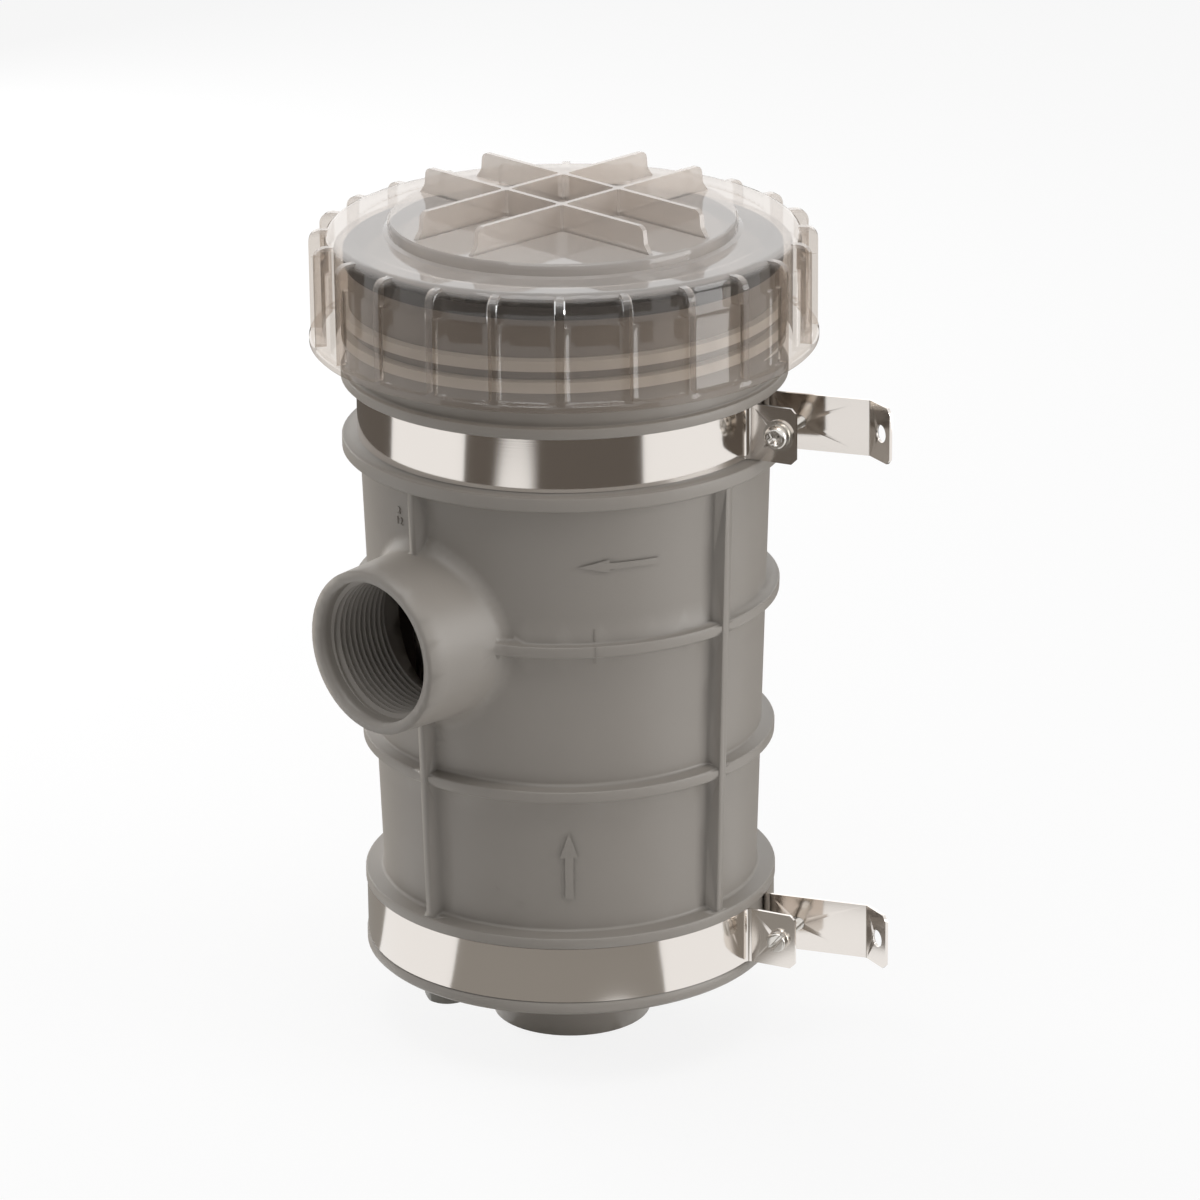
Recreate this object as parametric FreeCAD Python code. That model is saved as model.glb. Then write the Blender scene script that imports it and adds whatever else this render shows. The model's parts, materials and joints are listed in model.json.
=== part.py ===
import FreeCAD, Part
import math
import os

# Sea water strainer for a boat's cooling water, standing on its inlet.
# Millimetres, +Z up along the housing's axis. The origin is the centre of the inlet's mouth.
# The outlet points along -X. Water rises through the inlet into the basket, leaves through
# the basket's slots and flows out of the side.

VECTOR = FreeCAD.Vector
UP = VECTOR(0, 0, 1)
ORIGIN = VECTOR(0, 0, 0)

# Ports, both with a G 1 1/2 pipe thread: its crests in the bore are 44.85 mm across
thread_bore_radius = 22.42
thread_major_radius = 23.9
inlet_radius = 26.9
inlet_root_radius = 27.6
inlet_length = 26.5
riser_radius = 27.6
riser_height = 20.0
outlet_radius = 27.6
outlet_root_radius = 28.8
outlet_reach = 92.6
outlet_height = 154.9
outlet_blend = 6.0
counterbore_depth = 3.2
thread_length = 26.6

# Straps of stainless strip and the seats in the housing that they sit in
strap_width = 19.0
strap_thickness = 1.0
strap_side_gap = 0.3
strap_fit = 0.1
seat_height = strap_width + 2 * strap_side_gap
lower_seat_radius = 68.3
upper_seat_radius = 68.0

# Housing, from the floor upwards
floor_thickness = 5.0
base_rim_height = 4.4
rim_radius = 69.8
lower_rim_height = 3.7
body_bottom_radius = 63.4
body_top_radius = 68.3
body_height = 150.2
ring_rib_count = 2
ring_rib_pitch = 51.2
ring_rib_height = 4.2
ring_rib_depth = 4.5
side_rib_count = 4
side_rib_thickness = 3.0
side_rib_depth = 4.9
flange_radius = 74.2
flange_height = 4.9
top_flange_radius = 74.1
top_flange_height = 3.9
neck_radius = 71.0
neck_height = 35.7
neck_bore_radius = 66.0
ledge_depth = 10.0
cavity_top_radius = 63.3
cavity_bottom_radius = 58.5
cavity_bevel = 3.0
rim_bevel = 1.2
edge_bevel = 0.6
root_depth = 1.2

floor_bottom = inlet_length
floor_top = floor_bottom + floor_thickness
lower_seat_bottom = floor_bottom + base_rim_height
lower_seat_top = lower_seat_bottom + seat_height
body_bottom = lower_seat_top + lower_rim_height
body_top = body_bottom + body_height
upper_seat_bottom = body_top + flange_height
upper_seat_top = upper_seat_bottom + seat_height
neck_bottom = upper_seat_top + top_flange_height
neck_top = neck_bottom + neck_height
ledge_height = neck_top - ledge_depth

# Lid, one clear moulding that screws over the neck
seal_thickness = 4.2
seal_inner_radius = 66.4
seal_outer_radius = 72.4
lid_plate_thickness = 5.9
lid_bore_radius = 75.4
lid_upper_radius = 78.4
lid_lower_radius = 79.8
lid_shoulder_round = 3.0
lid_shoulder_steps = 3
lid_step_height = 9.6
lid_step_slope = 0.8
lid_skirt_gap = 8.2
lid_ring_radius = 84.2
lid_ring_height = 2.8
lid_dish_inner_radius = 59.2
lid_dish_outer_radius = 69.5
lid_dish_depth = 0.6
disc_radius = 57.7
disc_height = 3.9
disc_bevel = 0.9
disc_recess_radius = 52.5
fin_height = 8.9
fin_thickness = 1.8
fin_spacing = 25.9
fin_half_length = 50.9
fin_lean = 0.6
fin_foot_spread = 3.0
fin_corner_round = 2.5
post_radius = 1.9
grip_rib_count = 24
grip_rib_radius = 83.7
grip_rib_width = 2.6
grip_rib_head_width = 3.4
grip_rib_round = 4.0
lid_rest_angle = -2.4

lid_underside = neck_top + seal_thickness
lid_top = lid_underside + lid_plate_thickness
lid_bottom = neck_bottom + lid_skirt_gap
disc_top = lid_top + disc_height
lid_step_top = lid_top - lid_step_height

# Basket, one moulding that hangs on the ledge in the neck, with a collar over the riser
basket_rim_radius = 65.6
basket_rim_height = 3.0
basket_top_radius = 54.0
basket_bottom_radius = 50.0
basket_wall = 2.0
basket_floor_thickness = 2.4
basket_floor_gap = 12.0
basket_fit = 0.4
basket_collar_wall = 1.8
basket_collar_height = 10.0
slot_columns = 16
slot_rows = 5
slot_width = 9.0
slot_height = 30.0
slot_bridge = 7.0

# Drain plug in the floor, under the outlet
drain_distance = 50.4
drain_angle = 166.9
drain_boss_radius = 9.0
drain_boss_height = 4.0
drain_thread_radius = 5.0
drain_fit = 0.07
drain_thread_length = 8.5
drain_seal_thickness = 1.6
drain_seal_outer_radius = 7.4
drain_seal_inner_radius = 5.3
drain_flange_radius = 8.4
drain_flange_height = 1.4
drain_head_height = 3.7
drain_head_across_flats = 14.0

# Clamp ends: the ear that the screw pulls in and the arm that reaches the bulkhead
clamp_angle = -65.75
ear_root_angle = -12.0
ear_direction = -7.7
ear_reach = 86.8
ear_hole_from_end = 6.1
arm_reach = 105.0
tab_turn = 42.0
tab_length = 11.6
tab_hole_radius = 3.0
tab_hole_from_end = 5.4
bend_radius = 2.5
tab_bend_radius = 1.5
strip_corner = 1.8

# M4 clamp screws: a pan head with a washer above, a cheese head below
screw_radius = 2.0
screw_hole_radius = 2.25
screw_length = 24.0
pan_head_radius = 4.0
pan_head_height = 3.1
pan_head_round = 1.3
pan_head_steps = 2
cheese_head_radius = 3.5
cheese_head_height = 2.6
cheese_head_round = 0.4
cheese_head_steps = 1
drive_width = 1.2
drive_depth = 1.3
cross_length = 4.6
cross_angle = 45.0
slot_angle = -60.0
washer_radius = 5.2
washer_thickness = 0.9
nut_across_flats = 7.0
nut_height = 3.2


def body_radius(z):
    """Outer radius of the tapered body at a height."""
    share = (z - body_bottom) / body_height
    return body_bottom_radius + share * (body_top_radius - body_bottom_radius)


def polar(radius, angle):
    turn = math.radians(angle)
    return VECTOR(radius * math.cos(turn), radius * math.sin(turn), 0)


def turned(shape, angle, centre=ORIGIN, axis=UP):
    copy = shape.copy()
    copy.rotate(centre, axis, angle)
    return copy


def outline(corners, place, steps=0):
    """Closed wire through corners (a, b), which place turns into points.

    A third number rounds a corner with an arc, or with steps (or its fourth number) flat pieces.
    """
    count = len(corners)
    starts = []
    ends = []
    rounds = []
    for i, corner in enumerate(corners):
        here = place(corner[0], corner[1])
        radius = corner[2] if len(corner) > 2 else 0
        if radius == 0:
            starts.append(here)
            ends.append(here)
            rounds.append([])
            continue
        before = (place(*corners[i - 1][:2]) - here).normalize()
        after = (place(*corners[(i + 1) % count][:2]) - here).normalize()
        half = before.getAngle(after) / 2
        bisector = (before + after).normalize()
        centre = here + bisector * (radius / math.sin(half))
        start = here + before * (radius / math.tan(half))
        end = here + after * (radius / math.tan(half))
        starts.append(start)
        ends.append(end)
        pieces = corner[3] if len(corner) > 3 else steps
        if pieces == 0:
            rounds.append([Part.Arc(start, centre - bisector * radius, end)])
            continue
        sweep = math.pi - 2 * half
        bends = []
        for k in range(pieces + 1):
            share = sweep * k / pieces
            from_start = (start - centre) * math.sin(sweep - share)
            from_end = (end - centre) * math.sin(share)
            bends.append(centre + (from_start + from_end) * (1 / math.sin(sweep)))
        rounds.append([Part.LineSegment(a, b) for a, b in zip(bends, bends[1:])])
    edges = []
    for i in range(count):
        edges += [curve.toShape() for curve in rounds[i]]
        following = starts[(i + 1) % count]
        if ends[i].distanceToPoint(following) > 1e-6:
            edges.append(Part.LineSegment(ends[i], following).toShape())
    return Part.Wire(edges)


def turning(corners):
    """Solid of revolution about Z from (radius, height) corners, with bevels for rounds."""
    face = Part.Face(outline(corners, lambda r, z: VECTOR(r, 0, z), 1))
    return face.revolve(ORIGIN, UP, 360)


def radial_plate(corners, thickness, angle=0.0):
    """Plate that stands on a radius, from (radius, height) corners."""
    face = Part.Face(outline(corners, lambda r, z: VECTOR(r, -thickness / 2, z)))
    return turned(face.extrude(VECTOR(0, thickness, 0)), angle)


def ring(inner, outer, bottom, height):
    disc = Part.makeCylinder(outer, height, VECTOR(0, 0, bottom))
    return disc.cut(Part.makeCylinder(inner, height, VECTOR(0, 0, bottom)))


def hexagon(across_flats, height, place):
    radius = across_flats / math.sqrt(3)
    points = []
    for i in range(7):
        angle = math.radians(60 * i)
        points.append(VECTOR(radius * math.cos(angle), radius * math.sin(angle), 0))
    solid = Part.Face(Part.makePolygon(points)).extrude(VECTOR(0, 0, height))
    half = across_flats / 2
    solid = solid.common(Part.makeCone(half + height / math.tan(math.radians(30)), half, height))
    solid.Placement = place
    return solid


def ring_rib_bottoms():
    return [body_top - ring_rib_pitch * (i + 1) for i in reversed(range(ring_rib_count))]


def housing_shell():
    """Outside of the turned part of the housing, solid inside."""
    corners = [
        (0, floor_bottom),
        (rim_radius, floor_bottom, rim_bevel),
        (rim_radius, lower_seat_bottom),
        (lower_seat_radius, lower_seat_bottom),
        (lower_seat_radius, lower_seat_top),
        (rim_radius, lower_seat_top),
        (rim_radius, body_bottom, edge_bevel),
        (body_bottom_radius, body_bottom, rim_bevel),
    ]
    for bottom in ring_rib_bottoms():
        top = bottom + ring_rib_height
        corners += [
            (body_radius(bottom), bottom),
            (body_radius(bottom) + ring_rib_depth, bottom, edge_bevel),
            (body_radius(top) + ring_rib_depth, top, edge_bevel),
            (body_radius(top), top),
        ]
    corners += [
        (body_top_radius, body_top),
        (flange_radius, body_top, edge_bevel),
        (flange_radius, upper_seat_bottom, edge_bevel),
        (upper_seat_radius, upper_seat_bottom),
        (upper_seat_radius, upper_seat_top),
        (top_flange_radius, upper_seat_top, edge_bevel),
        (top_flange_radius, neck_bottom, edge_bevel),
        (neck_radius, neck_bottom),
        (neck_radius, neck_top, edge_bevel),
        (0, neck_top),
    ]
    return turning(corners)


def outlet_boss():
    """Outlet boss blended into a plain length of the tapered body."""
    draft = (outlet_root_radius - outlet_radius) / (outlet_reach - body_top_radius)
    axis_radius = outlet_radius + draft * outlet_reach
    start = VECTOR(0, 0, outlet_height)
    boss = Part.makeCone(axis_radius, outlet_radius, outlet_reach, start, VECTOR(-1, 0, 0))
    low = outlet_height - ring_rib_pitch + ring_rib_height
    high = body_top - root_depth
    core = Part.makeCone(body_radius(low), body_radius(high), high - low, VECTOR(0, 0, low))
    joined = core.fuse(boss)
    seam = []
    for edge in joined.Edges:
        box = edge.BoundBox
        beside_boss = low < box.ZMin and box.ZMax < high and -outlet_reach < box.XMin
        if beside_boss and edge.Curve.TypeId not in ("Part::GeomLine", "Part::GeomCircle"):
            seam.append(edge)
    return joined.makeFillet(outlet_blend, seam)


def side_ribs():
    ribs = []
    for i in range(side_rib_count):
        corners = [
            (body_bottom_radius - root_depth, body_bottom - root_depth),
            (body_bottom_radius + side_rib_depth, body_bottom - root_depth),
            (body_top_radius + side_rib_depth, body_top + root_depth),
            (body_bottom_radius - root_depth, body_top + root_depth),
        ]
        ribs.append(radial_plate(corners, side_rib_thickness, i * 360 / side_rib_count))
    return ribs


def drain_place(height):
    spot = polar(drain_distance, drain_angle) + UP * height
    return FreeCAD.Placement(spot, FreeCAD.Rotation())


def at_drain(shape, height):
    copy = shape.copy()
    copy.Placement = drain_place(height)
    return copy


def housing():
    inlet = Part.makeCone(inlet_radius, inlet_root_radius, inlet_length + root_depth, ORIGIN)
    drain_boss = at_drain(
        Part.makeCylinder(drain_boss_radius, drain_boss_height + root_depth),
        floor_bottom - drain_boss_height,
    )
    solid = outlet_boss().fuse([housing_shell(), inlet, drain_boss] + side_ribs())
    cavity = turning(
        [
            (0, floor_top),
            (cavity_bottom_radius, floor_top, cavity_bevel),
            (cavity_top_radius, ledge_height),
            (neck_bore_radius, ledge_height),
            (neck_bore_radius, neck_top + 1),
            (0, neck_top + 1),
        ]
    )
    riser_root = floor_top - root_depth
    riser = Part.makeCylinder(riser_radius, riser_height + root_depth, UP * riser_root)
    solid = solid.cut(cavity).fuse(riser)
    riser_top = floor_top + riser_height
    inlet_bore = Part.makeCylinder(thread_bore_radius, riser_top + 2, UP * -1)
    step = thread_major_radius - thread_bore_radius
    mouth = outlet_reach
    thread_start = mouth - counterbore_depth - step / 2
    thread_end = thread_start - thread_length
    inside = cavity_bottom_radius / 2
    outlet_bore = turning(
        [
            (0, inside),
            (thread_major_radius, inside),
            (thread_major_radius, thread_end),
            (thread_bore_radius, thread_end),
            (thread_bore_radius, thread_start),
            (thread_major_radius, mouth - counterbore_depth),
            (thread_major_radius, mouth + 1),
            (0, mouth + 1),
        ]
    )
    outlet_bore = turned(outlet_bore, -90, ORIGIN, VECTOR(0, 1, 0))
    outlet_bore.translate(UP * outlet_height)
    drain_bore = at_drain(
        Part.makeCylinder(drain_thread_radius, floor_thickness + drain_boss_height + 2),
        floor_bottom - drain_boss_height - 1,
    )
    return solid.cut([inlet_bore, outlet_bore, drain_bore])


def fins():
    """Four upright fins in two crossing pairs, with a post at each crossing."""
    half = fin_half_length
    foot = half + fin_foot_spread
    root = disc_top - disc_height / 2
    top = disc_top + fin_height
    flare = disc_top + fin_foot_spread
    corners = [
        (-foot, root),
        (foot, root),
        (foot, disc_top),
        (half + fin_lean, flare, fin_foot_spread),
        (half, top, fin_corner_round),
        (-half, top, fin_corner_round),
        (-half - fin_lean, flare, fin_foot_spread),
        (-foot, disc_top),
    ]
    pieces = []
    for turn in (0, 90):
        for side in (-1, 1):
            fin = radial_plate(corners, fin_thickness)
            fin.translate(VECTOR(0, side * fin_spacing / 2, 0))
            pieces.append(turned(fin, turn))
    for x in (-1, 1):
        for y in (-1, 1):
            place = VECTOR(x * fin_spacing / 2, y * fin_spacing / 2, root)
            pieces.append(Part.makeCylinder(post_radius, top - root, place))
    return pieces


def grip_ribs():
    """Upright ribs around the lid, each with a wider head above the step in the skirt."""
    root = (lid_bore_radius + lid_upper_radius) / 2
    bottom = lid_bottom + lid_ring_height / 2
    top = lid_top - edge_bevel
    ribs = []
    for i in range(grip_rib_count):
        angle = i * 360 / grip_rib_count
        corners = [
            (root, bottom),
            (grip_rib_radius, bottom),
            (grip_rib_radius, top, grip_rib_round),
            (root, top),
        ]
        ribs.append(radial_plate(corners, grip_rib_width, angle))
        head = [
            (root, lid_step_top),
            (grip_rib_radius - edge_bevel, lid_step_top),
            (grip_rib_radius - edge_bevel, top - edge_bevel, grip_rib_round),
            (root, top - edge_bevel),
        ]
        ribs.append(radial_plate(head, grip_rib_head_width, angle))
    return ribs


def lid():
    ring_top = lid_bottom + lid_ring_height
    body = turning(
        [
            (0, lid_underside + disc_height),
            (disc_recess_radius, lid_underside + disc_height),
            (disc_recess_radius + disc_height / 2, lid_underside),
            (lid_bore_radius, lid_underside),
            (lid_bore_radius, lid_bottom),
            (lid_ring_radius, lid_bottom, edge_bevel),
            (lid_ring_radius, ring_top, edge_bevel),
            (lid_lower_radius, ring_top),
            (lid_lower_radius, lid_step_top - lid_step_slope),
            (lid_upper_radius, lid_step_top),
            (lid_upper_radius, lid_top, lid_shoulder_round, lid_shoulder_steps),
            (lid_dish_outer_radius, lid_top),
            (lid_dish_outer_radius - lid_dish_depth, lid_top - lid_dish_depth),
            (lid_dish_inner_radius, lid_top - lid_dish_depth),
            (disc_radius, lid_top),
            (disc_radius, disc_top, disc_bevel),
            (0, disc_top),
        ]
    )
    solid = body.fuse(fins() + grip_ribs()).removeSplitter()
    return turned(solid, lid_rest_angle)


def lid_seal():
    return ring(seal_inner_radius, seal_outer_radius, neck_top, seal_thickness)


def basket():
    """Slotted basket with a rim to hang by and a collar that fits over the riser."""
    rim_top = ledge_height + basket_rim_height
    floor_low = floor_top + basket_floor_gap
    floor_high = floor_low + basket_floor_thickness
    collar_radius = riser_radius + basket_fit
    collar_top = floor_low + basket_collar_height
    wall = turning(
        [
            (basket_bottom_radius, floor_low),
            (basket_top_radius, ledge_height),
            (basket_rim_radius, ledge_height),
            (basket_rim_radius, rim_top),
            (basket_top_radius - basket_wall, rim_top),
            (basket_bottom_radius - basket_wall, floor_high),
            (collar_radius + basket_collar_wall, floor_high),
            (collar_radius + basket_collar_wall, collar_top),
            (collar_radius, collar_top),
            (collar_radius, floor_low),
        ]
    )
    slots = []
    pitch = slot_height + slot_bridge
    first = (floor_high + ledge_height - slot_rows * pitch + slot_bridge) / 2
    inside = basket_bottom_radius - 2 * basket_wall
    for row in range(slot_rows):
        for column in range(slot_columns):
            corner = VECTOR(inside, -slot_width / 2, first + row * pitch)
            slot = Part.makeBox(basket_top_radius, slot_width, slot_height, corner)
            slots.append(turned(slot, (column + 0.5) * 360 / slot_columns))
    return wall.cut(slots)


def drain_plug():
    seal_low = floor_bottom - drain_boss_height - drain_seal_thickness
    flange_low = seal_low - drain_flange_height
    shank_length = drain_thread_length + drain_seal_thickness
    shank = at_drain(Part.makeCylinder(drain_thread_radius - drain_fit, shank_length), seal_low)
    flange = at_drain(Part.makeCylinder(drain_flange_radius, drain_flange_height), flange_low)
    place = drain_place(flange_low)
    place.Rotation = FreeCAD.Rotation(VECTOR(1, 0, 0), 180)
    head = hexagon(drain_head_across_flats, drain_head_height, place)
    return head.fuse([flange, shank]).removeSplitter()


def drain_plug_seal():
    seal_low = floor_bottom - drain_boss_height - drain_seal_thickness
    washer = Part.makeCylinder(drain_seal_outer_radius, drain_seal_thickness)
    washer = washer.cut(Part.makeCylinder(drain_seal_inner_radius, drain_seal_thickness))
    return at_drain(washer, seal_low)


def left_of(direction):
    return VECTOR(-direction.y, direction.x, 0)


def on_ear(reach):
    """Point on the ear's middle line, a distance out from the housing's axis along the ear."""
    outwards = polar(1, ear_direction)
    root = polar(upper_seat_radius, ear_root_angle)
    return root + outwards * (reach - root.dot(outwards))


def tab_line():
    """Where the tab's straight length starts on the strip's middle line, and its direction."""
    along = polar(1, -tab_turn)
    return VECTOR(arm_reach, -tab_bend_radius, 0) + left_of(along) * tab_bend_radius, along


def bend(centre, first, last, radius):
    middle = (first + last).normalize()
    return [centre + first * radius, centre + middle * radius, centre + last * radius]


def strip_side(band_radius, offset):
    """Edges from the ear's tip to the tab's, offset to the left of the strip's middle line."""
    inwards = polar(-1, ear_direction)
    reach = band_radius + bend_radius
    ear_centre = on_ear(0) + left_of(inwards) * bend_radius
    ear_centre -= inwards * math.sqrt(reach**2 - ear_centre.dot(ear_centre))
    arm_centre = VECTOR(math.sqrt(reach**2 - bend_radius**2), bend_radius, 0)
    tab_centre = VECTOR(arm_reach, -tab_bend_radius, 0)
    tab_start, along_tab = tab_line()
    tight = bend_radius - offset
    to_ear = left_of(inwards) * -1
    ear_bend = bend(ear_centre, to_ear, (ear_centre * -1).normalize(), tight)
    arm_bend = bend(arm_centre, (arm_centre * -1).normalize(), VECTOR(0, -1, 0), tight)
    tab_bend = bend(tab_centre, VECTOR(0, 1, 0), left_of(along_tab), tab_bend_radius + offset)
    far_side = polar(band_radius + offset, 180 + ear_root_angle / 2)
    ear_tip = on_ear(ear_reach) + left_of(inwards) * offset
    tab_tip = tab_bend[2] + along_tab * tab_length
    return [
        Part.LineSegment(ear_tip, ear_bend[0]).toShape(),
        Part.Arc(*ear_bend).toShape(),
        Part.Arc(ear_bend[2], far_side, arm_bend[0]).toShape(),
        Part.Arc(*arm_bend).toShape(),
        Part.LineSegment(arm_bend[2], tab_bend[0]).toShape(),
        Part.Arc(*tab_bend).toShape(),
        Part.LineSegment(tab_bend[2], tab_tip).toShape(),
    ]


def screw_line():
    """Where the screw's axis crosses the ear's middle plane, and its direction to the arm."""
    return on_ear(ear_reach - ear_hole_from_end), polar(1, ear_direction + 90)


def seat_middle(bottom):
    return bottom + seat_height / 2


def clamp(seat_radius, seat_bottom):
    """Strap with its ear, arm and tab, bent from one strip."""
    band_radius = seat_radius + strap_fit + strap_thickness / 2
    inner = strip_side(band_radius, -strap_thickness / 2)
    outer = strip_side(band_radius, strap_thickness / 2)
    ear_end = Part.LineSegment(inner[0].firstVertex().Point, outer[0].firstVertex().Point)
    tab_end = Part.LineSegment(inner[-1].lastVertex().Point, outer[-1].lastVertex().Point)
    edges = Part.__sortEdges__(inner + outer + [ear_end.toShape(), tab_end.toShape()])
    strip = Part.Face(Part.Wire(edges)).extrude(UP * strap_width)
    end_area = strap_width * strap_thickness
    end_faces = [face for face in strip.Faces if abs(face.Area - end_area) < 0.01 * end_area]
    corners = []
    for face in end_faces:
        corners += [edge for edge in face.Edges if edge.Length < 2 * strap_thickness]
    strip = strip.makeChamfer(strip_corner, corners)
    middle = UP * (strap_width / 2)
    start, along = screw_line()
    start += middle - along * strap_thickness
    tab_start, along_tab = tab_line()
    through = left_of(along_tab)
    tab_centre = tab_start + along_tab * (tab_length - tab_hole_from_end) + middle
    tab_hole_start = tab_centre - through * 2 * strap_thickness
    screw_hole = Part.makeCylinder(screw_hole_radius, 2 * screw_length, start, along)
    tab_hole = Part.makeCylinder(tab_hole_radius, 4 * strap_thickness, tab_hole_start, through)
    strip = strip.cut([screw_hole, tab_hole])
    strip.translate(UP * (seat_bottom + strap_side_gap))
    return turned(strip, clamp_angle)


def on_screw(shape, seat_bottom, distance=0.0):
    """Shape built along +Z, set on the screw's axis a distance past the ear's outer face."""
    start, along = screw_line()
    copy = shape.copy()
    spot = start + along * (distance - strap_thickness / 2) + UP * seat_middle(seat_bottom)
    copy.Placement = FreeCAD.Placement(spot, FreeCAD.Rotation(UP, along))
    return turned(copy, clamp_angle)


def screw(head_radius, head_height, head_corner, drives):
    """Screw along +Z with its head below z = 0; head_corner is (round, steps) of the head's rim.

    drives are the (length, angle) of slots cut into the head.
    """
    rim = (head_radius, -head_height) + head_corner
    head = turning([(0, -head_height), rim, (head_radius, 0), (0, 0)])
    for length, angle in drives:
        corner = VECTOR(-length / 2, -drive_width / 2, -head_height)
        head = head.cut(turned(Part.makeBox(length, drive_width, drive_depth, corner), angle))
    return head.fuse(Part.makeCylinder(screw_radius, screw_length)).removeSplitter()


def pan_head_screw(seat_bottom):
    drives = [(cross_length, cross_angle), (cross_length, cross_angle + 90)]
    corner = (pan_head_round, pan_head_steps)
    shape = screw(pan_head_radius, pan_head_height, corner, drives)
    return on_screw(shape, seat_bottom, -washer_thickness)


def cheese_head_screw(seat_bottom):
    drives = [(3 * cheese_head_radius, slot_angle)]
    corner = (cheese_head_round, cheese_head_steps)
    shape = screw(cheese_head_radius, cheese_head_height, corner, drives)
    return on_screw(shape, seat_bottom)


def clamp_washer(seat_bottom):
    washer = ring(screw_hole_radius, washer_radius, 0, washer_thickness)
    return on_screw(washer, seat_bottom, -washer_thickness)


def clamp_nut(seat_bottom):
    """Nut flat against the arm's far face, bored along the screw, which crosses it askew."""
    start, along = screw_line()
    crossing = start + along * ((strap_thickness / 2 - start.y) / along.y)
    crossing += UP * seat_middle(seat_bottom)
    place = FreeCAD.Placement(crossing, FreeCAD.Rotation(UP, VECTOR(0, 1, 0)))
    nut = hexagon(nut_across_flats, nut_height, place)
    bore = Part.makeCylinder(screw_hole_radius, 3 * nut_height, crossing - along * nut_height, along)
    return turned(nut.cut(bore), clamp_angle)


def main():
    parts = {
        "housing": housing(),
        "lid": lid(),
        "lid_seal": lid_seal(),
        "basket": basket(),
        "drain_plug": drain_plug(),
        "drain_plug_seal": drain_plug_seal(),
        "upper_clamp": clamp(upper_seat_radius, upper_seat_bottom),
        "upper_clamp_screw": pan_head_screw(upper_seat_bottom),
        "upper_clamp_washer": clamp_washer(upper_seat_bottom),
        "upper_clamp_nut": clamp_nut(upper_seat_bottom),
        "lower_clamp": clamp(lower_seat_radius, lower_seat_bottom),
        "lower_clamp_screw": cheese_head_screw(lower_seat_bottom),
        "lower_clamp_nut": clamp_nut(lower_seat_bottom),
    }
    os.makedirs("parts", exist_ok=True)
    for name, shape in parts.items():
        shape.exportStep("parts/" + name + ".step")
        state = "valid" if shape.isValid() else "NOT VALID"
        print(name, state, len(shape.Solids), "solid,", round(shape.Volume / 1000, 1), "cm3")


main()
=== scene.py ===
import bmesh
import bpy
import json
import math
from mathutils import Matrix, Vector


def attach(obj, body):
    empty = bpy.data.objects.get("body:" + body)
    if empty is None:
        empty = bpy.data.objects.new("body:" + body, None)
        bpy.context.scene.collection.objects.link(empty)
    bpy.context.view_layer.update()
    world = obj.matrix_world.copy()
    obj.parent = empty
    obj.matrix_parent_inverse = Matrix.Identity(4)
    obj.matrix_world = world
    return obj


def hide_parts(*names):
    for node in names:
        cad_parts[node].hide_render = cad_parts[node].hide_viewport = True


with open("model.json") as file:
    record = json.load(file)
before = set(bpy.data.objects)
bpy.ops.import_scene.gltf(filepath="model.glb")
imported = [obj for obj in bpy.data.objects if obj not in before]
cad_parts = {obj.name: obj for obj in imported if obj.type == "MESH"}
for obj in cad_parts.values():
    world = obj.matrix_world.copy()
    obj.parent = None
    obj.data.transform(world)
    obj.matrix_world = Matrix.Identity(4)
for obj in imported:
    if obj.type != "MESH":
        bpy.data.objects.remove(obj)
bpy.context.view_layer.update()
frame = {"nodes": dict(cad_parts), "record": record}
MM = 0.001

# Sizes that the looks share with the solids, in millimetres and degrees
bore_radius = 22.42
bore_root_radius = 23.9
pipe_pitch = 2.309
outlet_height = 154.9
outlet_thread_start = 88.66
outlet_thread_length = 26.6
inlet_thread_length = 24.0
inlet_run_out = 1.5
neck_radius = 71.0
neck_thread_radius = 73.6
neck_thread_start = 240.4
lid_lead = 7.2
body_bottom = 54.2
body_height = 150.2
body_bottom_radius = 63.4
body_top_radius = 68.3
ring_rib_depth = 4.5
ring_rib_bottom = 153.2
ring_rib_height = 4.2
screw_radius = 2.0
screw_core_radius = 1.62
screw_pitch = 0.7
screw_length = 24.0
screw_place = (17.621, -78.951)
screw_direction = (0.95857, 0.28485, 0.0)
upper_screw_height = 219.1
lower_screw_height = 40.7
plug_radius = 4.93
plug_core_radius = 4.1
plug_pitch = 1.5
plug_shank_length = 10.1
plug_place = (-49.088, 11.423, 20.9)
view_angle = -136.45


def body_radius(z):
    """Radius of the tapered drum at a height."""
    share = (z - body_bottom) / body_height
    return body_bottom_radius + share * (body_top_radius - body_bottom_radius)


# Materials


def srgb(code, alpha=1.0):
    """Hex colour as it looks on screen, turned into the linear values that Blender reads."""
    values = []
    for i in (1, 3, 5):
        value = int(code[i : i + 2], 16) / 255
        values.append(value / 12.92 if value <= 0.04045 else ((value + 0.055) / 1.055) ** 2.4)
    return (*values, alpha)


def add_node(tree, kind, links=None, **settings):
    """Adds a node, sets its sockets by name or number and its other settings by attribute."""
    node = tree.nodes.new(kind)
    sockets = settings.pop("values", {})
    for name, value in settings.items():
        setattr(node, name, value)
    for name, value in sockets.items():
        node.inputs[name].default_value = value
    for name, source in (links or {}).items():
        tree.links.new(source, node.inputs[name])
    return node


def new_material(name):
    """An empty material, its tree and the place on the object that its patterns read."""
    material = bpy.data.materials.new(name)
    material.use_nodes = True
    tree = material.node_tree
    tree.nodes.clear()
    return material, tree, add_node(tree, "ShaderNodeTexCoord").outputs["Object"]


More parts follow.
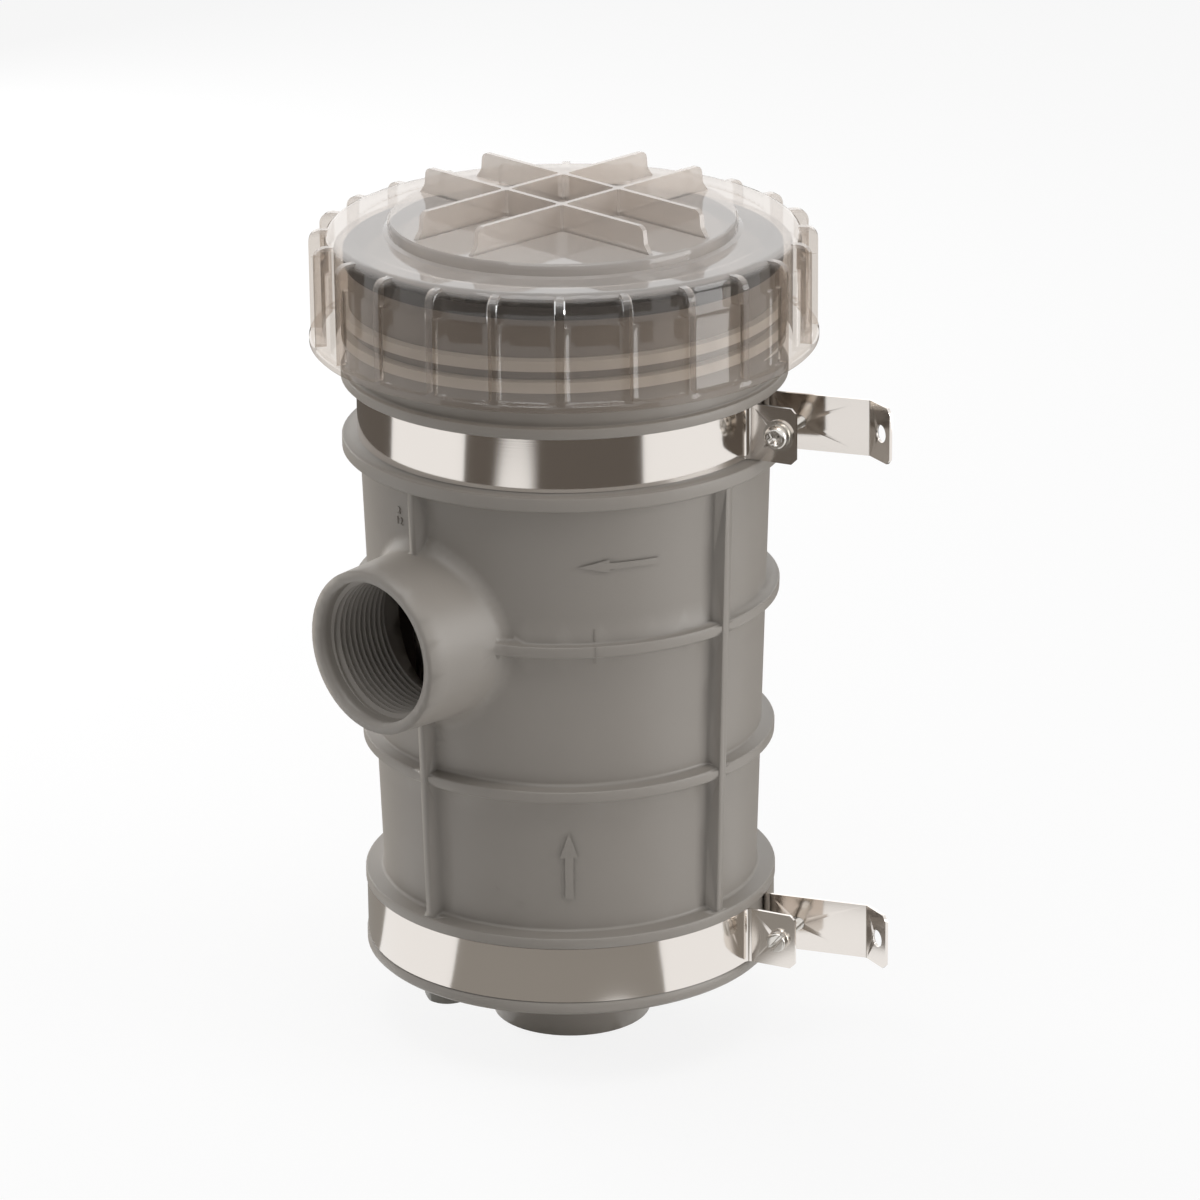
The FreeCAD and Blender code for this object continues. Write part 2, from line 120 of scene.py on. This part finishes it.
def relief(tree, place, width, depth, detail, strength):
    """Normals of an uneven surface whose bumps have a width and a depth in millimetres."""
    noise = add_node(
        tree, "ShaderNodeTexNoise", {"Vector": place}, values={"Scale": 1 / (width * MM), "Detail": detail}
    )
    bump = add_node(
        tree,
        "ShaderNodeBump",
        {"Height": noise.outputs["Fac"]},
        values={"Strength": strength, "Distance": depth * MM},
    )
    return bump.outputs["Normal"]


def moulded_plastic(name, colour, roughness=0.42):
    """Filled polypropylene from a satin mould: fine grain in the gloss and faint clouds where it
    flowed. The real grain is finer, and it is drawn as coarse as it needs to show."""
    cloud_width = 35.7
    cloud_gain = 1.08
    grain_width = 0.4545
    grain_depth = 0.06
    material, tree, place = new_material(name)
    clouds = add_node(
        tree,
        "ShaderNodeTexNoise",
        {"Vector": place},
        values={"Scale": 1 / (cloud_width * MM), "Detail": 3.0},
    )
    pale = tuple(c * cloud_gain for c in srgb(colour)[:3]) + (1,)
    tint = add_node(
        tree,
        "ShaderNodeMixRGB",
        {"Fac": clouds.outputs["Fac"]},
        values={"Color1": srgb(colour), "Color2": pale},
    )
    grain = relief(tree, place, grain_width, grain_depth, detail=2.0, strength=0.25)
    shader = add_node(
        tree,
        "ShaderNodeBsdfPrincipled",
        {"Base Color": tint.outputs["Color"], "Normal": grain},
        values={"Roughness": roughness, "IOR": 1.5},
    )
    add_node(tree, "ShaderNodeOutputMaterial", {"Surface": shader.outputs["BSDF"]})
    return material


def clear_plastic(name):
    """Clear moulded styrene: see-through walls with a faint milky haze that is thicker in the
    lid's top than in its skirt. Its gloss grows towards grazing views, has faint ripples in it
    and lies on the outer side alone, and the walls don't bend the light that goes through."""
    ripple_width = 16.67
    ripple_depth = 0.4
    haze_grows_from = 275.5
    haze_grows_to = 277.8
    skirt_haze = 0.04
    top_haze = 0.36
    material, tree, place = new_material(name)
    ripple = relief(tree, place, ripple_width, ripple_depth, detail=1.0, strength=0.06)
    height = add_node(tree, "ShaderNodeSeparateXYZ", {0: place}).outputs["Z"]
    haze_share = add_node(
        tree,
        "ShaderNodeMapRange",
        {"Value": height},
        values={
            "From Min": haze_grows_from * MM,
            "From Max": haze_grows_to * MM,
            "To Min": skirt_haze,
            "To Max": top_haze,
        },
    )
    clear = add_node(tree, "ShaderNodeBsdfTransparent", values={"Color": srgb("#ece8e4")})
    haze = add_node(tree, "ShaderNodeBsdfDiffuse", values={"Color": srgb("#f6efe9")})
    wall = add_node(
        tree,
        "ShaderNodeMixShader",
        {"Fac": haze_share.outputs["Result"], 1: clear.outputs["BSDF"], 2: haze.outputs["BSDF"]},
    )
    gloss = add_node(
        tree,
        "ShaderNodeBsdfAnisotropic",
        {"Normal": ripple},
        values={"Color": (1, 1, 1, 1), "Roughness": 0.05},
    )
    mirror = add_node(tree, "ShaderNodeFresnel", {"Normal": ripple}, values={"IOR": 1.5})
    inner_side = add_node(tree, "ShaderNodeNewGeometry").outputs["Backfacing"]
    outer_side = add_node(tree, "ShaderNodeMath", {1: inner_side}, operation="SUBTRACT", values={0: 1.0})
    gloss_share = add_node(
        tree, "ShaderNodeMath", {0: mirror.outputs["Fac"], 1: outer_side.outputs[0]}, operation="MULTIPLY"
    )
    mix = add_node(
        tree,
        "ShaderNodeMixShader",
        {"Fac": gloss_share.outputs[0], 1: wall.outputs["Shader"], 2: gloss.outputs["BSDF"]},
    )
    add_node(tree, "ShaderNodeOutputMaterial", {"Surface": mix.outputs["Shader"]})
    return material


def stainless(name, colour, roughness, scratch):
    """Cold-rolled stainless steel: a bright mirror with level rolling lines in it, and scratch
    sets how plainly they show. The real lines are finer, and they are drawn wide enough to show."""
    line_length = 25.0
    line_width = 0.25
    line_depth = 0.02
    material, tree, place = new_material(name)
    stretch = add_node(
        tree, "ShaderNodeMapping", {"Vector": place}, values={"Scale": (1, 1, line_length / line_width)}
    )
    lines = relief(tree, stretch.outputs["Vector"], line_length, line_depth, detail=3.0, strength=scratch)
    shader = add_node(
        tree,
        "ShaderNodeBsdfPrincipled",
        {"Normal": lines},
        values={"Base Color": srgb(colour), "Metallic": 1.0, "Roughness": roughness},
    )
    add_node(tree, "ShaderNodeOutputMaterial", {"Surface": shader.outputs["BSDF"]})
    return material


def rubber(name):
    """Black moulded nitrile rubber, matt with a faint mottle."""
    mottle_width = 1.43
    mottle_depth = 0.08
    material, tree, place = new_material(name)
    mottle = relief(tree, place, mottle_width, mottle_depth, detail=2.0, strength=0.3)
    shader = add_node(
        tree,
        "ShaderNodeBsdfPrincipled",
        {"Normal": mottle},
        values={"Base Color": srgb("#262422"), "Roughness": 0.55},
    )
    add_node(tree, "ShaderNodeOutputMaterial", {"Surface": shader.outputs["BSDF"]})
    return material


MATERIALS = {
    "grey_plastic": moulded_plastic("grey moulded polypropylene", "#938d86"),
    # Painted highlight: near-white grey for the neck thread, so that its crests look lit against the shaded
    # grooves under the lid
    "painted_highlight_plastic": moulded_plastic("grey polypropylene rubbed pale by the lid", "#dedad4", 0.3),
    "basket_plastic": moulded_plastic("basket polypropylene", "#9c968f"),
    "dark_plastic": moulded_plastic("plug polypropylene", "#74716a"),
    "clear_plastic": clear_plastic("clear moulded styrene"),
    "stainless_strip": stainless("polished stainless strip", "#e8e2dc", 0.11, 0.12),
    "stainless_fastener": stainless("plain stainless", "#dcd8d2", 0.2, 0.1),
    "black_rubber": rubber("black nitrile rubber"),
}

# Pieces


def node_shape(node):
    """The node's solid as a bmesh with its triangles joined up."""
    shape = bmesh.new()
    shape.from_mesh(frame["nodes"][node].data)
    bmesh.ops.remove_doubles(shape, verts=shape.verts, dist=1e-6)
    return shape


def joined_flats(shape):
    """The same shape with the triangles of each flat joined, so that gloss runs evenly over it."""
    bmesh.ops.dissolve_limit(shape, angle_limit=math.radians(1.0), verts=shape.verts, edges=shape.edges)
    return shape


def body_holding(node):
    for body, nodes in frame["record"]["behaviour"]["bodies"].items():
        if node in nodes:
            return body


def new_piece(name, shape, node, slot, smooth_angle=50.0, material=None):
    """Turns a bmesh in metres into a smooth piece that rides the body of a node.

    The piece takes its slot's material, unless another one is named.
    """
    mesh = bpy.data.meshes.new(name)
    bmesh.ops.remove_doubles(shape, verts=shape.verts, dist=1e-6)
    bmesh.ops.recalc_face_normals(shape, faces=shape.faces)
    shape.to_mesh(mesh)
    shape.free()
    mesh.shade_smooth()
    mesh.set_sharp_from_angle(angle=math.radians(smooth_angle))
    mesh.materials.clear()
    mesh.materials.append(MATERIALS[material or slot])
    piece = bpy.data.objects.new(name, mesh)
    bpy.context.collection.objects.link(piece)
    rounding = piece.modifiers.new("bevels shaded round", "WEIGHTED_NORMAL")
    rounding.keep_sharp = True
    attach(piece, body_holding(node))
    return piece


def finish_node(node, slot, shape=None, smooth_angle=50.0):
    """Puts a smooth piece, by default of the node's own shape, in a node's place."""
    piece = new_piece(node + "_finished", shape or node_shape(node), node, slot, smooth_angle)
    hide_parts(node)


# Threads


def helix_tree():
    """Node tree for a closed ridge on a helix about Z that runs out at both ends.

    A ridge with a negative rise stands inwards, as in a bore.
    """
    least_scale = 0.02
    tree = bpy.data.node_groups.new("ridge on a helix", "GeometryNodeTree")
    for label in ("Radius", "Rise", "Root width", "Crest width", "Lead", "Turns", "Run-out turns"):
        tree.interface.new_socket(label, in_out="INPUT", socket_type="NodeSocketFloat")
    tree.interface.new_socket("Steps per turn", in_out="INPUT", socket_type="NodeSocketInt")
    tree.interface.new_socket("Material", in_out="INPUT", socket_type="NodeSocketMaterial")
    tree.interface.new_socket("Mesh", in_out="OUTPUT", socket_type="NodeSocketGeometry")
    given = add_node(tree, "NodeGroupInput").outputs
    height = add_node(tree, "ShaderNodeMath", {0: given["Lead"], 1: given["Turns"]}, operation="MULTIPLY")
    path = add_node(
        tree,
        "GeometryNodeCurveSpiral",
        {
            "Resolution": given["Steps per turn"],
            "Rotations": given["Turns"],
            "Start Radius": given["Radius"],
            "End Radius": given["Radius"],
            "Height": height.outputs[0],
        },
        values={"Reverse": True},
    )
    path = add_node(tree, "GeometryNodeSetCurveNormal", {"Curve": path.outputs[0]}, mode="Z_UP")
    depth = add_node(tree, "ShaderNodeMath", {0: given["Rise"]}, operation="ABSOLUTE")
    section = add_node(
        tree,
        "GeometryNodeCurvePrimitiveQuadrilateral",
        {"Bottom Width": given["Root width"], "Top Width": given["Crest width"], "Height": depth.outputs[0]},
        mode="TRAPEZOID",
        values={"Offset": 0.0},
    )
    half = add_node(tree, "ShaderNodeMath", {0: depth.outputs[0]}, operation="MULTIPLY", values={1: 0.5})
    outwards = add_node(tree, "ShaderNodeCombineXYZ", {"X": half.outputs[0]})
    section = add_node(
        tree,
        "GeometryNodeTransform",
        {"Geometry": section.outputs[0], "Translation": outwards.outputs[0]},
        values={"Rotation": (0.0, 0.0, math.radians(-90))},
    )
    side = add_node(tree, "ShaderNodeMath", {0: given["Rise"]}, operation="SIGN")
    facing = add_node(tree, "ShaderNodeCombineXYZ", {"X": side.outputs[0]}, values={"Y": 1.0, "Z": 1.0})
    section = add_node(
        tree, "GeometryNodeTransform", {"Geometry": section.outputs[0], "Scale": facing.outputs[0]}
    )
    along = add_node(tree, "GeometryNodeSplineParameter").outputs["Factor"]
    from_end = add_node(tree, "ShaderNodeMath", {0: along}, operation="PINGPONG", values={1: 0.5})
    from_end = add_node(
        tree, "ShaderNodeMath", {0: from_end.outputs[0], 1: given["Turns"]}, operation="MULTIPLY"
    )
    scale = add_node(
        tree,
        "ShaderNodeMath",
        {0: from_end.outputs[0], 1: given["Run-out turns"]},
        operation="DIVIDE",
        use_clamp=True,
    )
    scale = add_node(
        tree, "ShaderNodeMath", {0: scale.outputs[0]}, operation="MAXIMUM", values={1: least_scale}
    )
    ridge = add_node(
        tree,
        "GeometryNodeCurveToMesh",
        {"Curve": path.outputs[0], "Profile Curve": section.outputs[0], "Scale": scale.outputs[0]},
        values={"Fill Caps": True},
    )
    real = add_node(tree, "GeometryNodeRealizeInstances", {"Geometry": ridge.outputs[0]})
    dressed = add_node(
        tree, "GeometryNodeSetMaterial", {"Geometry": real.outputs[0], "Material": given["Material"]}
    )
    add_node(tree, "NodeGroupOutput", {0: dressed.outputs[0]})
    return tree


HELIX = helix_tree()


def add_ridge(shape, place, material, **sizes):
    """Adds a ridge with its sizes in millimetres to a shape, at its place in metres."""
    holder = bpy.data.objects.new("ridge", bpy.data.meshes.new("ridge"))
    bpy.context.collection.objects.link(holder)
    modifier = holder.modifiers.new("ridge", "NODES")
    modifier.node_group = HELIX
    sizes["material"] = MATERIALS[material]
    for socket in HELIX.interface.items_tree:
        key = socket.name.lower().replace(" ", "_").replace("-", "_")
        if key in sizes:
            modifier[socket.identifier] = sizes[key]
    holder.update_tag()
    bpy.context.view_layer.update()
    mesh = bpy.data.meshes.new_from_object(holder.evaluated_get(bpy.context.evaluated_depsgraph_get()))
    bpy.data.objects.remove(holder)
    mesh.transform(place @ Matrix.Scale(MM, 4))
    shape.from_mesh(mesh)


def set_radius(shape, point, along, stations, old, new):
    """Moves the corners of a round wall to a new radius between two stations on its axis."""
    station_slack = 0.01
    radius_slack = 0.03
    axis = Vector(along)
    low, high = stations
    for v in shape.verts:
        out = v.co / MM - Vector(point)
        station = out.dot(axis)
        out -= axis * station
        in_reach = low - station_slack < station < high + station_slack
        if in_reach and abs(out.length - old) < radius_slack:
            v.co = (Vector(point) + axis * station + out * (new / out.length)) * MM


def cut_ring(shape, height):
    """New edge round the inlet's bore at a height, where its thread runs out."""
    reach = (bore_radius + 0.1) * MM
    near = [f for f in shape.faces if all(math.hypot(*v.co.xy) < reach for v in f.verts)]
    edges = {e for f in near for e in f.edges}
    verts = {v for f in near for v in f.verts}
    bmesh.ops.bisect_plane(
        shape, geom=[*near, *edges, *verts], plane_co=(0, 0, height * MM), plane_no=(0, 0, 1), dist=1e-7
    )


def dress_housing():
    """Housing with a pipe thread cut in each port."""
    sunk = 0.05
    pipe_thread = {
        "radius": bore_root_radius + sunk,
        "rise": bore_radius - bore_root_radius - sunk,
        "root_width": 2.15,
        "crest_width": 0.35,
        "lead": pipe_pitch,
        "run_out_turns": 0.4,
        "steps_per_turn": 96,
    }
    shape = node_shape("housing")
    mouth = (0, 0, outlet_height)
    start = -outlet_thread_start
    threaded = (start, start + outlet_thread_length)
    set_radius(shape, mouth, (1, 0, 0), threaded, bore_radius, bore_root_radius)
    into_outlet = Matrix.Translation(Vector((start + pipe_pitch / 2, 0, outlet_height)) * MM)
    add_ridge(
        shape,
        into_outlet @ Matrix.Rotation(math.radians(90), 4, "Y"),
        "grey_plastic",
        turns=outlet_thread_length / pipe_pitch - 1,
        **pipe_thread,
    )
    cut_ring(shape, inlet_thread_length)
    cut_ring(shape, inlet_thread_length + inlet_run_out)
    set_radius(shape, (0, 0, 0), (0, 0, 1), (0, inlet_thread_length), bore_radius, bore_root_radius)
    add_ridge(
        shape,
        Matrix.Translation((0, 0, pipe_pitch / 2 * MM)),
        "grey_plastic",
        turns=inlet_thread_length / pipe_pitch - 1,
        **pipe_thread,
    )
    finish_node("housing", "grey_plastic", shape)


def neck_thread():
    """The neck's coarse flat-topped thread, which the lid screws on, coloured near white as a painted
    highlight.
    """
    sunk = 0.15
    start_angle = view_angle + 65
    shape = bmesh.new()
    lifted = Matrix.Translation((0, 0, neck_thread_start * MM))
    add_ridge(
        shape,
        lifted @ Matrix.Rotation(math.radians(start_angle), 4, "Z"),
        # painted highlight: the thread takes a near-white grey in place of the housing's own grey
        "painted_highlight_plastic",
        radius=neck_radius - sunk,
        rise=neck_thread_radius - neck_radius + sunk,
        root_width=4.3,
        crest_width=3.4,
        lead=lid_lead,
        turns=2.4,
        run_out_turns=0.08,
        steps_per_turn=96,
    )
    new_piece("neck_thread", shape, "housing", "grey_plastic", material="painted_highlight_plastic")


def dress_screw(node, height):
    """Clamp screw with an M4 thread rolled on its shank."""
    sunk = 0.04
    plain_start = 0.6
    plain_length = 1.4
    shape = node_shape(node)
    start = (*screw_place, height)
    set_radius(shape, start, screw_direction, (-1, screw_length), screw_radius, screw_core_radius)
    turn = Vector(screw_direction).to_track_quat("Z", "Y").to_matrix().to_4x4()
    place = Matrix.Translation((Vector(start) + Vector(screw_direction) * plain_start) * MM) @ turn
    add_ridge(
        shape,
        place,
        "stainless_fastener",
        radius=screw_core_radius - sunk,
        rise=screw_radius - screw_core_radius + sunk,
        root_width=0.64,
        crest_width=0.1,
        lead=screw_pitch,
        turns=(screw_length - plain_length) / screw_pitch,
        run_out_turns=0.5,
        steps_per_turn=18,
    )
    finish_node(node, "stainless_fastener", shape)


def dress_plug():
    """Drain plug with its M10 thread."""
    sunk = 0.05
    plain_start = 2.4
    plain_length = 3.4
    shape = node_shape("drain_plug")
    set_radius(shape, plug_place, (0, 0, 1), (0, plug_shank_length), plug_radius, plug_core_radius)
    add_ridge(
        shape,
        Matrix.Translation((Vector(plug_place) + Vector((0, 0, plain_start))) * MM),
        "dark_plastic",
        radius=plug_core_radius - sunk,
        rise=plug_radius - plug_core_radius + sunk,
        root_width=1.4,
        crest_width=0.2,
        lead=plug_pitch,
        turns=(plug_shank_length - plain_length) / plug_pitch,
        run_out_turns=0.4,
        steps_per_turn=32,
    )
    finish_node("drain_plug", "dark_plastic", shape)


# Raised marks on the housing


def wrap_on_body(shape, angle, z, lift):
    """Lays a flat shape in millimetres, x around and y up, on the drum at an angle and height."""
    for v in shape.verts:
        height = z + v.co.y
        radius = body_radius(height) + v.co.z + lift
        turn = math.radians(angle) + v.co.x / body_radius(z)
        v.co = Vector((radius * math.cos(turn), radius * math.sin(turn), height)) * MM


def slice_across(shape, span, step=1.5):
    """Cuts a flat shape in strips, so that it can follow the drum's curve."""
    x = -span
    while x <= span:
        geom = [*shape.verts, *shape.edges, *shape.faces]
        bmesh.ops.bisect_plane(shape, geom=geom, plane_co=(x, 0, 0), plane_no=(1, 0, 0), dist=1e-5)
        x += step


def raised_outline(name, points, angle, z, rise, edge, lift=-0.06):
    """A raised shape with sloped edges on the drum, from its flat outline, with its back in the wall."""
    area = sum(a[0] * b[1] - b[0] * a[1] for a, b in zip(points, points[1:] + points[:1]))
    ordered = points if area > 0 else points[::-1]
    shape = bmesh.new()
    face = shape.faces.new([shape.verts.new((x, y, 0)) for x, y in ordered])
    shape.normal_update()
    bmesh.ops.inset_region(shape, faces=[face], thickness=edge, depth=0, use_even_offset=True)
    for v in face.verts:
        v.co.z = rise
    bmesh.ops.holes_fill(shape, edges=[e for e in shape.edges if e.is_boundary], sides=0)
    slice_across(shape, max(abs(x) for x, y in points) + 1)
    wrap_on_body(shape, angle, z, lift)
    new_piece(name, shape, "housing", "grey_plastic", smooth_angle=20)


def arrow(shaft_half, head_half, head_length, shaft_length):
    """Outline of an arrow that points along +X with its tip at x = 0."""
    return [
        (0, 0),
        (-head_length, head_half),
        (-head_length, shaft_half),
        (-head_length - shaft_length, shaft_half),
        (-head_length - shaft_length, -shaft_half),
        (-head_length, -shaft_half),
        (-head_length, -head_half),
    ]


def disc_outline(radius, corners=12):
    turns = [2 * math.pi * i / corners for i in range(corners)]
    return [(radius * math.cos(t), radius * math.sin(t)) for t in turns]


def bar_outline(width, height):
    x = width / 2
    y = height / 2
    return [(-x, -y), (x, -y), (x, y), (-x, y)]


def raised_number(name, body, size, angle, z):
    """Plain raised number, as moulds carry for their cavity."""
    half_thickness = 0.2
    lift = 0.1
    text = bpy.data.curves.new(name, "FONT")
    text.body = body
    text.size = size
    text.align_x = "CENTER"
    text.align_y = "CENTER"
    text.space_line = 0.9
    text.extrude = half_thickness
    text.resolution_u = 3
    holder = bpy.data.objects.new(name, text)
    bpy.context.collection.objects.link(holder)
    bpy.context.view_layer.update()
    flat = bpy.data.meshes.new_from_object(holder.evaluated_get(bpy.context.evaluated_depsgraph_get()))
    bpy.data.objects.remove(holder)
    shape = bmesh.new()
    shape.from_mesh(flat)
    wrap_on_body(shape, angle, z, lift)
    new_piece(name, shape, "housing", "grey_plastic", smooth_angle=30)


def moulded_marks():
    """Flow arrows, cavity number, parting mark on the upper ring rib and two ejector marks."""
    inlet_arrow = arrow(shaft_half=1.38, head_half=3.0, head_length=9.2, shaft_length=14.6)
    upwards = [(-y, x) for x, y in inlet_arrow]
    raised_outline("inlet_arrow", upwards, angle=-136.85, z=90.2, rise=0.75, edge=0.25)
    outlet_arrow = arrow(shaft_half=1.05, head_half=2.3, head_length=10.4, shaft_length=16.9)
    sideways = [(-x, y) for x, y in outlet_arrow]
    raised_outline("outlet_arrow", sideways, angle=-133.6, z=183.65, rise=0.65, edge=0.22)
    raised_number("cavity_number", "3\n12", size=3.8, angle=170.15, z=192.6)

    parting_angle = -129.05
    parting_width = 0.45
    sunk = 0.06
    for place, height, z in (("above", 4.4, 159.7), ("below", 3.4, 151.5)):
        mark = bar_outline(parting_width, height)
        raised_outline("parting_mark_" + place, mark, parting_angle, z, rise=0.3, edge=0.12)
    mark = bar_outline(parting_width, ring_rib_height - 0.2)
    on_rib = ring_rib_bottom + ring_rib_height / 2
    lift = ring_rib_depth - sunk
    raised_outline("parting_mark_on_rib", mark, parting_angle, on_rib, rise=0.25, edge=0.12, lift=lift)

    for i, (angle, z) in enumerate(((-159.15, 67.9), (-151.35, 63.6))):
        raised_outline("ejector_mark_" + str(i + 1), disc_outline(0.6), angle, z, rise=0.2, edge=0.15)


dress_housing()
neck_thread()
moulded_marks()
dress_screw("upper_clamp_screw", upper_screw_height)
dress_screw("lower_clamp_screw", lower_screw_height)
dress_plug()
finish_node("lid", "clear_plastic", joined_flats(node_shape("lid")), smooth_angle=26.0)
for node, slot in (
    ("basket", "basket_plastic"),
    ("lid_seal", "black_rubber"),
    ("drain_plug_seal", "black_rubber"),
    ("upper_clamp", "stainless_strip"),
    ("lower_clamp", "stainless_strip"),
    ("upper_clamp_washer", "stainless_fastener"),
    ("upper_clamp_nut", "stainless_fastener"),
    ("lower_clamp_nut", "stainless_fastener"),
):
    finish_node(node, slot)

# Floor, world and lamps, in metres

# Shares of a turn round the object where the painted reflection that gloss sees in the floor turns bright
# (1) or dark (0)
PAINTED_CARD_EDGES = ((0.0, 0), (0.2332, 1), (0.4293, 0), (0.8238, 1), (0.9682, 0))
# Painted bright reflection patches among the painted dark cards: centre, radius that is fully bright, radius
# of its faint rim
PAINTED_BRIGHT_PATCHES = (((-0.63, -0.2), 0.09, 0.15), ((-0.05, -0.095), 0.028, 0.036))
# Distances from the middle between which a painted dark card goes from its inner to its outer tone
PAINTED_CARD_REACH = (0.17, 0.62)


def floor_material():
    """Pale matt floor, near white to the eye. Gloss alone sees painted dark cards in sectors round the
    object and painted bright patches among them, so that the straps show painted light and dark bands."""
    white_share = 0.85
    white = (1, 1, 1, 1)
    material, tree, place = new_material("pale floor with painted reflection cards")
    rays = add_node(tree, "ShaderNodeLightPath").outputs
    share = add_node(
        tree, "ShaderNodeMath", {0: rays["Is Camera Ray"]}, operation="MULTIPLY", values={1: white_share}
    )
    matt = add_node(tree, "ShaderNodeBsdfDiffuse", values={"Color": (0.9, 0.9, 0.9, 1)})
    bright = add_node(tree, "ShaderNodeEmission", values={"Color": white, "Strength": 1.0})
    plain = add_node(
        tree,
        "ShaderNodeMixShader",
        {"Fac": share.outputs[0], 1: matt.outputs["BSDF"], 2: bright.outputs["Emission"]},
    )

    around = add_node(tree, "ShaderNodeTexGradient", {"Vector": place}, gradient_type="RADIAL")
    sectors = add_node(tree, "ShaderNodeValToRGB", {"Fac": around.outputs["Fac"]})
    ramp = sectors.color_ramp
    ramp.interpolation = "CONSTANT"
    while len(ramp.elements) < len(PAINTED_CARD_EDGES):
        ramp.elements.new(0.5)
    for element, (position, lightness) in zip(ramp.elements, PAINTED_CARD_EDGES):
        element.position = position
        element.color = (lightness, lightness, lightness, 1)
    painted_bright = sectors.outputs["Color"]
    for centre, full, rim in PAINTED_BRIGHT_PATCHES:
        off = add_node(
            tree, "ShaderNodeVectorMath", {0: place}, operation="DISTANCE", values={1: (*centre, 0.0)}
        )
        patch = add_node(
            tree,
            "ShaderNodeMapRange",
            {"Value": off.outputs["Value"]},
            values={"From Min": full, "From Max": rim, "To Min": 1, "To Max": 0},
        )
        painted_bright = add_node(
            tree, "ShaderNodeMath", {0: painted_bright, 1: patch.outputs["Result"]}, operation="MAXIMUM"
        ).outputs[0]

    away = add_node(tree, "ShaderNodeVectorMath", {0: place}, operation="LENGTH")
    outwards = add_node(
        tree,
        "ShaderNodeMapRange",
        {"Value": away.outputs["Value"]},
        values={"From Min": PAINTED_CARD_REACH[0], "From Max": PAINTED_CARD_REACH[1]},
    )
    painted_card_tone = add_node(
        tree,
        "ShaderNodeMixRGB",
        {"Fac": outwards.outputs["Result"]},
        values={"Color1": srgb("#94908a"), "Color2": srgb("#625c56")},
    )
    # painted reflection: the colour that glossy rays see in the floor in place of its plain white
    painted_reflection = add_node(
        tree, "ShaderNodeMixRGB", {"Fac": painted_bright, "Color1": painted_card_tone.outputs["Color"]}, values={"Color2": white}
    )
    glow = add_node(
        tree, "ShaderNodeEmission", {"Color": painted_reflection.outputs["Color"]}, values={"Strength": 1.0}
    )
    mix = add_node(
        tree,
        "ShaderNodeMixShader",
        {"Fac": rays["Is Glossy Ray"], 1: plain.outputs["Shader"], 2: glow.outputs["Emission"]},
    )
    add_node(tree, "ShaderNodeOutputMaterial", {"Surface": mix.outputs["Shader"]})
    return material


def floor():
    """Wide floor just under the object."""
    half_width = 6.0
    gap = 0.0005
    shape = bmesh.new()
    bmesh.ops.create_grid(shape, x_segments=1, y_segments=1, size=half_width)
    mesh = bpy.data.meshes.new("floor")
    shape.to_mesh(mesh)
    shape.free()
    mesh.materials.append(floor_material())
    ground = bpy.data.objects.new("floor", mesh)
    ground.location.z = -gap
    bpy.context.collection.objects.link(ground)


def studio_world():
    """Plain white round the object to the eye and in gloss, and a weaker, even light for whatever
    has met a matt surface on its way."""
    ambient_strength = 0.3
    world = bpy.data.worlds.new("studio")
    bpy.context.scene.world = world
    world.use_nodes = True
    tree = world.node_tree
    tree.nodes.clear()
    rays = add_node(tree, "ShaderNodeLightPath").outputs
    lighting = add_node(
        tree, "ShaderNodeMath", {0: rays["Diffuse Depth"]}, operation="MINIMUM", values={1: 1.0}
    )
    ambient = add_node(
        tree, "ShaderNodeBackground", values={"Color": (1, 1, 1, 1), "Strength": ambient_strength}
    )
    white = add_node(tree, "ShaderNodeBackground", values={"Color": (1, 1, 1, 1), "Strength": 1.0})
    mix = add_node(
        tree,
        "ShaderNodeMixShader",
        {"Fac": lighting.outputs[0], 1: white.outputs["Background"], 2: ambient.outputs["Background"]},
    )
    add_node(tree, "ShaderNodeOutputWorld", {"Surface": mix.outputs["Shader"]})


def soft_box(name, angle, elevation, distance, size, power, in_gloss=True):
    """Lamp at an angle round the object, counted from the camera's side, that faces its middle.

    Its size is its width and height, and in_gloss says whether shiny surfaces mirror it.
    """
    middle = Vector((0, 0, 0.15))
    turn = math.radians(view_angle + angle)
    rise = math.radians(elevation)
    out = Vector((math.cos(turn) * math.cos(rise), math.sin(turn) * math.cos(rise), math.sin(rise)))
    lamp = bpy.data.lights.new(name, "AREA")
    lamp.shape = "RECTANGLE"
    lamp.size, lamp.size_y = size
    lamp.energy = power
    holder = bpy.data.objects.new(name, lamp)
    facing = out.to_track_quat("Z", "Y").to_matrix().to_4x4()
    holder.matrix_world = Matrix.Translation(middle + out * distance) @ facing
    holder.visible_glossy = in_gloss
    bpy.context.collection.objects.link(holder)


def camera():
    """Camera at the photograph's place."""
    place = (-1.3206, -1.2554, 0.8107)
    forward = Vector((0.6850, 0.6434, -0.3419)).normalized()
    roll = math.radians(-0.57)
    sight = bpy.data.cameras.new("camera")
    sight.sensor_width = 36.0
    sight.lens = 173.19
    holder = bpy.data.objects.new("camera", sight)
    bpy.context.collection.objects.link(holder)
    level = forward.cross(Vector((0, 0, 1))).normalized()
    upright = level.cross(forward)
    across = level * math.cos(roll) + upright * math.sin(roll)
    upwards = upright * math.cos(roll) - level * math.sin(roll)
    turn = Matrix((across, upwards, -forward)).transposed().to_4x4()
    holder.matrix_world = Matrix.Translation(place) @ turn
    bpy.context.scene.camera = holder


floor()
studio_world()
soft_box("left soft box", -140, elevation=5, distance=1.2, size=(0.8, 0.5), power=16.0, in_gloss=False)
soft_box("right soft box", 72, elevation=10, distance=1.4, size=(0.8, 1.1), power=10.0)
soft_box("top soft box", -15, elevation=76, distance=1.5, size=(1.1, 1.1), power=9.0)
soft_box("back soft box", 180, elevation=23, distance=1.7, size=(2.0, 0.9), power=2.5)
camera()
bpy.context.scene.view_settings.view_transform = "Standard"
